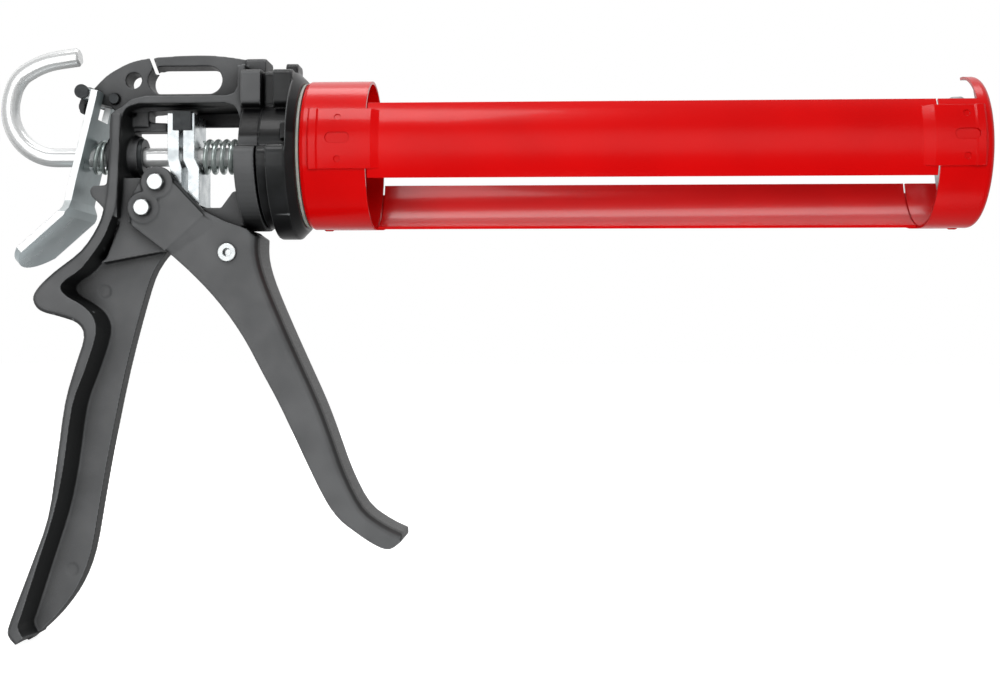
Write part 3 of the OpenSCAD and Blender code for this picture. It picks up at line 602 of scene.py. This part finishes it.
class GUN_OT_castings(bpy.types.Operator):
    """Rounds every edge of the die castings, as their moulds do"""

    bl_idname = "gun.castings"
    bl_label = "Round the Castings"

    def execute(self, context):
        voxel = context.scene.gun.casting_voxel * 1
        for name, node, body, slot in CASTINGS:
            rough = welded_copy(context, name, node)
            spent = [rough]
            if node == "handle_casting":
                for block_name, near, far, sides, action in HANDLE_BLOCKS:
                    block = handle_block(context, block_name, near, far, sides)
                    cut = rough.modifiers.new(block_name, "BOOLEAN")
                    cut.solver = "EXACT"
                    cut.operation = action
                    cut.object = block
                    spent.append(block)
            cast = rounded_mesh(context, rough, voxel)
            for item in spent:
                bpy.data.objects.remove(item)
            if not cast.polygons:
                raise RuntimeError("no surface came back for " + node)
            add_piece(name, cast, body, slot, [node], ROUNDING["crease"])
        return {"FINISHED"}


def curve_through(points, steps):
    """A smooth line through points in a plane, with steps to each stretch."""
    line = []
    for i in range(len(points) - 1):
        a, b, c, d = (Vector(points[min(max(k, 0), len(points) - 1)]) for k in range(i - 1, i + 3))
        for k in range(steps):
            t = k / steps
            line.append(0.5 * (2 * b + (c - a) * t + (2 * a - 5 * b + 4 * c - d) * t ** 2
                               + (3 * b - a - 3 * c + d) * t ** 3))
    return line + [Vector(points[-1])]


def hexagon(flats):
    """Section of drawn hexagonal bar with nipped corners; a flat faces each side of the tool."""
    corner, nip = flats / 2 / math.cos(math.pi / 6), ROD_MM["nip"]
    angles = [k * math.pi / 3 + turn * nip / corner for k in range(6) for turn in (-1, 1)]
    return [((corner - nip / 4) * math.cos(a), (corner - nip / 4) * math.sin(a)) for a in angles]


def across(at, run, section, share=1):
    """A section, scaled by a share, set square to a line in the XZ plane that runs along run."""
    side = Vector((run.y, -run.x))
    return [(at.x + share * u * side.x, share * v, at.y + share * u * side.y) for u, v in section]


class GUN_OT_rod(bpy.types.Operator):
    """Makes the drawn hexagonal rod with its bent hook and turned end"""

    bl_idname = "gun.rod"
    bl_label = "Make the Push Rod"

    def execute(self, context):
        size = context.scene.gun
        section = hexagon(size.rod_flats / MM)
        bend_x, bend_r = HOOK_BEND_MM
        line = [Vector((ROD_MM["front"], 0)), Vector((ROD_MM["middle"], 0))]
        line += [Vector((REAR_MM + bend_x + bend_r * math.cos(a), bend_r + bend_r * math.sin(a)))
                 for a in (math.radians(d) for d in HOOK_BEND_DEGREES)]
        line += curve_through([(REAR_MM + x, z) for x, z in HOOK_END_MM], 4)
        rings = []
        for i, at in enumerate(line):
            run = (line[min(i + 1, len(line) - 1)] - line[max(i - 1, 0)]).normalized()
            rings.append(across(at, run, section))
        end = (line[-1] - line[-2]).normalized()
        rings.append(across(line[-1] + end * ROD_MM["chamfer"], end, section, ROD_END_SHARE))
        stub = [ring_x(x, r, ROD_STUB_SIDES) for x, r in ROD_STUB_MM]
        add_piece("hexagonal_rod", mesh_of("hexagonal_rod", [rings, stub]), "rod", "rod_steel",
                  ["push_rod"], size.smooth_angle)
        return {"FINISHED"}


def coil_rings(x0, x1, turns, coil_r, wire_r, lean):
    """Rings of a round wire coiled along X with its end turns closed; the end at x0 may lean."""
    count = int(turns * COIL["rings"])
    closed = COIL["closed"]
    pitch_closed = 2 * wire_r * COIL["touch"]
    open_turns = turns - 2 * closed
    pitch = (x1 - x0 - 2 * wire_r - 2 * closed * pitch_closed) / open_turns
    rings = []
    for i in range(count + 1):
        turn = i / COIL["rings"]
        along = (min(turn, closed) * pitch_closed + max(0, min(turn - closed, open_turns)) * pitch
                 + max(0, turn - closed - open_turns) * pitch_closed)
        a = math.tau * turn
        x = x0 + wire_r + along + lean * coil_r * math.cos(a) * (1 - i / count)
        growth = (1 - COIL["tip"]) * min(i, count - i) / COIL["tip_rings"]
        wire = wire_r * min(1, COIL["tip"] + growth)
        ring = []
        for b in (math.tau * k / COIL["points"] for k in range(COIL["points"])):
            r = coil_r + wire * math.sin(b)
            ring.append((x + wire * math.cos(b), r * math.sin(a), r * math.cos(a)))
        rings.append(ring)
    return rings


class GUN_OT_springs(bpy.types.Operator):
    """Coils the drive spring and the release spring, each between its ends"""

    bl_idname = "gun.springs"
    bl_label = "Make the Springs"

    def execute(self, context):
        size = context.scene.gun
        low, high = (corner[0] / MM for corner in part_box("drive_spring"))
        coil = coil_rings(low, high, DRIVE_COIL_MM["turns"], DRIVE_COIL_MM["radius"],
                          size.wire_radius / MM, 0)
        drive = add_piece("drive_coil", mesh_of("drive_coil", [coil]), "handle", "spring_wire",
                          ["drive_spring"], size.smooth_angle)
        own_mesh(drive)
        back, front = (REAR_MM + x for x in RELEASE_COIL_MM["ends"])
        coil = coil_rings(back, front, RELEASE_COIL_MM["turns"], RELEASE_COIL_MM["radius"],
                          RELEASE_COIL_MM["wire"], RELEASE_COIL_MM["lean"])
        release = add_piece("release_coil", mesh_of("release_coil", [coil]), "handle",
                            "spring_wire", ["release_spring"], size.smooth_angle)
        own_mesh(release)
        return {"FINISHED"}


class GUN_OT_plunger(bpy.types.Operator):
    """Presses the plunger's dish"""

    bl_idname = "gun.plunger"
    bl_label = "Make the Plunger"

    def execute(self, context):
        size = context.scene.gun
        radius = size.plunger_radius / MM
        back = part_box("plunger_disc")[0][0] / MM
        # outline as [from the rear face, radius], round the rim and back along the front
        outline = [(0, 3.1), (0, 13), (0.5, 14), (0.5, radius - 2.2), (0.2, radius - 1.4),
                   (0.3, radius - 0.7), (1, radius - 0.1), (3.6, radius), (4, radius - 0.4),
                   (3.6, radius - 0.9), (2.2, radius - 1.2), (1.7, radius - 2.2), (1.7, 14.4),
                   (1.5, 13.2), (1.5, 3.1)]
        sides, count = PLUNGER_SIDES, len(outline)
        points = [Vector(p) * MM for x, r in outline for p in ring_x(back + x, r, sides)]
        faces = [(i * sides + k, i * sides + (k + 1) % sides,
                  (i + 1) % count * sides + (k + 1) % sides, (i + 1) % count * sides + k)
                 for i in range(count) for k in range(sides)]
        mesh = bpy.data.meshes.new("plunger_dish")
        mesh.from_pydata(points, [], faces)
        add_piece("plunger_dish", mesh, "rod", "plunger_steel", ["plunger_disc"],
                  size.smooth_angle)
        return {"FINISHED"}


def add_floor(scene):
    """A pale floor that is seen, and neither shades the tool nor shows in its gloss."""
    made, _, _ = blank("pale_floor", {
        "Base Color": srgb("#c8c8c8"), "Roughness": 0.9, "Specular IOR Level": 0.0,
        "Emission Color": srgb("#ffffff"), "Emission Strength": 0.9})
    corners = [(x * FLOOR_REACH, y * FLOOR_REACH, FLOOR_Z)
               for x, y in ((-1, -1), (1, -1), (1, 1), (-1, 1))]
    mesh = bpy.data.meshes.new("floor")
    mesh.from_pydata(corners, [], [(0, 1, 2, 3)])
    mesh.materials.append(made)
    floor = bpy.data.objects.new("floor", mesh)
    floor.visible_glossy = False
    floor.visible_diffuse = False
    floor.visible_shadow = False
    scene.collection.objects.link(floor)


def area_light(scene, name, at, aim, size, watts, mirrored):
    """A soft box at a place, pointed at aim; one that isn't mirrored makes no gloss."""
    data = bpy.data.lights.new(name, "AREA")
    data.shape = "RECTANGLE"
    data.size, data.size_y = size
    data.energy = watts
    lamp = bpy.data.objects.new(name, data)
    lamp.location = at
    lamp.rotation_euler = (Vector(aim) - Vector(at)).to_track_quat("-Z", "Y").to_euler()
    lamp.visible_glossy = mirrored
    scene.collection.objects.link(lamp)


def studio_world():
    """White where it is seen. It lights softly, and gloss finds a dim, uneven room in it."""
    world = bpy.data.worlds.new("studio")
    world.use_nodes = True
    tree = world.node_tree
    sky = tree.nodes["Background"]
    sky.inputs["Color"].default_value = srgb("#ffffff")
    ray = add_node(tree, "ShaderNodeLightPath")
    way = axes(tree, "Generated")
    room = None
    for axis, settings in ROOM.items():
        wall = add_node(tree, "ShaderNodeMapRange", span(*settings),
                        {"Value": way[axis]}).outputs["Result"]
        room = wall if room is None else add_node(
            tree, "ShaderNodeMath", {"operation": "MULTIPLY"}, {0: room, 1: wall}).outputs[0]
    lit = add_node(tree, "ShaderNodeMix", {"data_type": "FLOAT", 2: ROOM_LIGHT},
                   {0: ray.outputs["Is Glossy Ray"], 3: room})
    seen = add_node(tree, "ShaderNodeMix", {"data_type": "FLOAT", 3: 1.0},
                    {0: ray.outputs["Is Camera Ray"], 2: lit.outputs[0]})
    tree.links.new(seen.outputs[0], sky.inputs["Strength"])
    return world


def add_camera(scene):
    """The camera, level with the trigger and turned a little to the tool's rear."""
    data = bpy.data.cameras.new("camera")
    data.sensor_width = CAMERA["sensor"]
    data.lens = CAMERA["lens"]
    data.clip_start, data.clip_end = 0.01, 50
    turn = (Matrix.Rotation(math.radians(CAMERA["yaw"]), 3, "Z")
            @ Matrix.Rotation(math.radians(CAMERA["pitch"]), 3, "X")
            @ Matrix.Rotation(math.radians(CAMERA["roll"]), 3, "Y"))
    right, ahead, up = (turn @ Vector(v) for v in ((1, 0, 0), (0, 1, 0), (0, 0, 1)))
    camera = bpy.data.objects.new("camera", data)
    camera.matrix_world = Matrix.LocRotScale(
        Vector(CAMERA["at"]), Matrix((right, up, -ahead)).transposed().to_quaternion(), None)
    scene.collection.objects.link(camera)
    scene.camera = camera


class GUN_OT_stage(bpy.types.Operator):
    """Makes the floor, the soft light and the camera"""

    bl_idname = "gun.stage"
    bl_label = "Set the Stage"

    def execute(self, context):
        scene = context.scene
        add_floor(scene)
        scene.world = studio_world()
        for light in LIGHTS:
            area_light(scene, *light)
        scene.view_settings.view_transform = "Standard"
        add_camera(scene)
        return {"FINISHED"}


class GUN_PT_panel(bpy.types.Panel):
    """Lists the settings and the steps that build the looks"""

    bl_label = "Caulking Gun"
    bl_idname = "GUN_PT_panel"
    bl_space_type = "VIEW_3D"
    bl_region_type = "UI"
    bl_category = "Caulking Gun"

    def draw(self, context):
        for setting in GunSettings.__annotations__:
            self.layout.prop(context.scene.gun, setting)
        for step in STEPS:
            self.layout.operator(step.bl_idname)


STEPS = (GUN_OT_paint, GUN_OT_castings, GUN_OT_rod, GUN_OT_springs, GUN_OT_plunger, GUN_OT_stage)
CLASSES = (GunSettings,) + STEPS + (GUN_PT_panel,)


def register():
    for cls in CLASSES:
        bpy.utils.register_class(cls)
    bpy.types.Scene.gun = bpy.props.PointerProperty(type=GunSettings)


def unregister():
    del bpy.types.Scene.gun
    for cls in reversed(CLASSES):
        bpy.utils.unregister_class(cls)


def main():
    register()
    for step in STEPS:
        family, name = step.bl_idname.split(".")
        getattr(getattr(bpy.ops, family), name)()


if __name__ == "__main__":
    main()
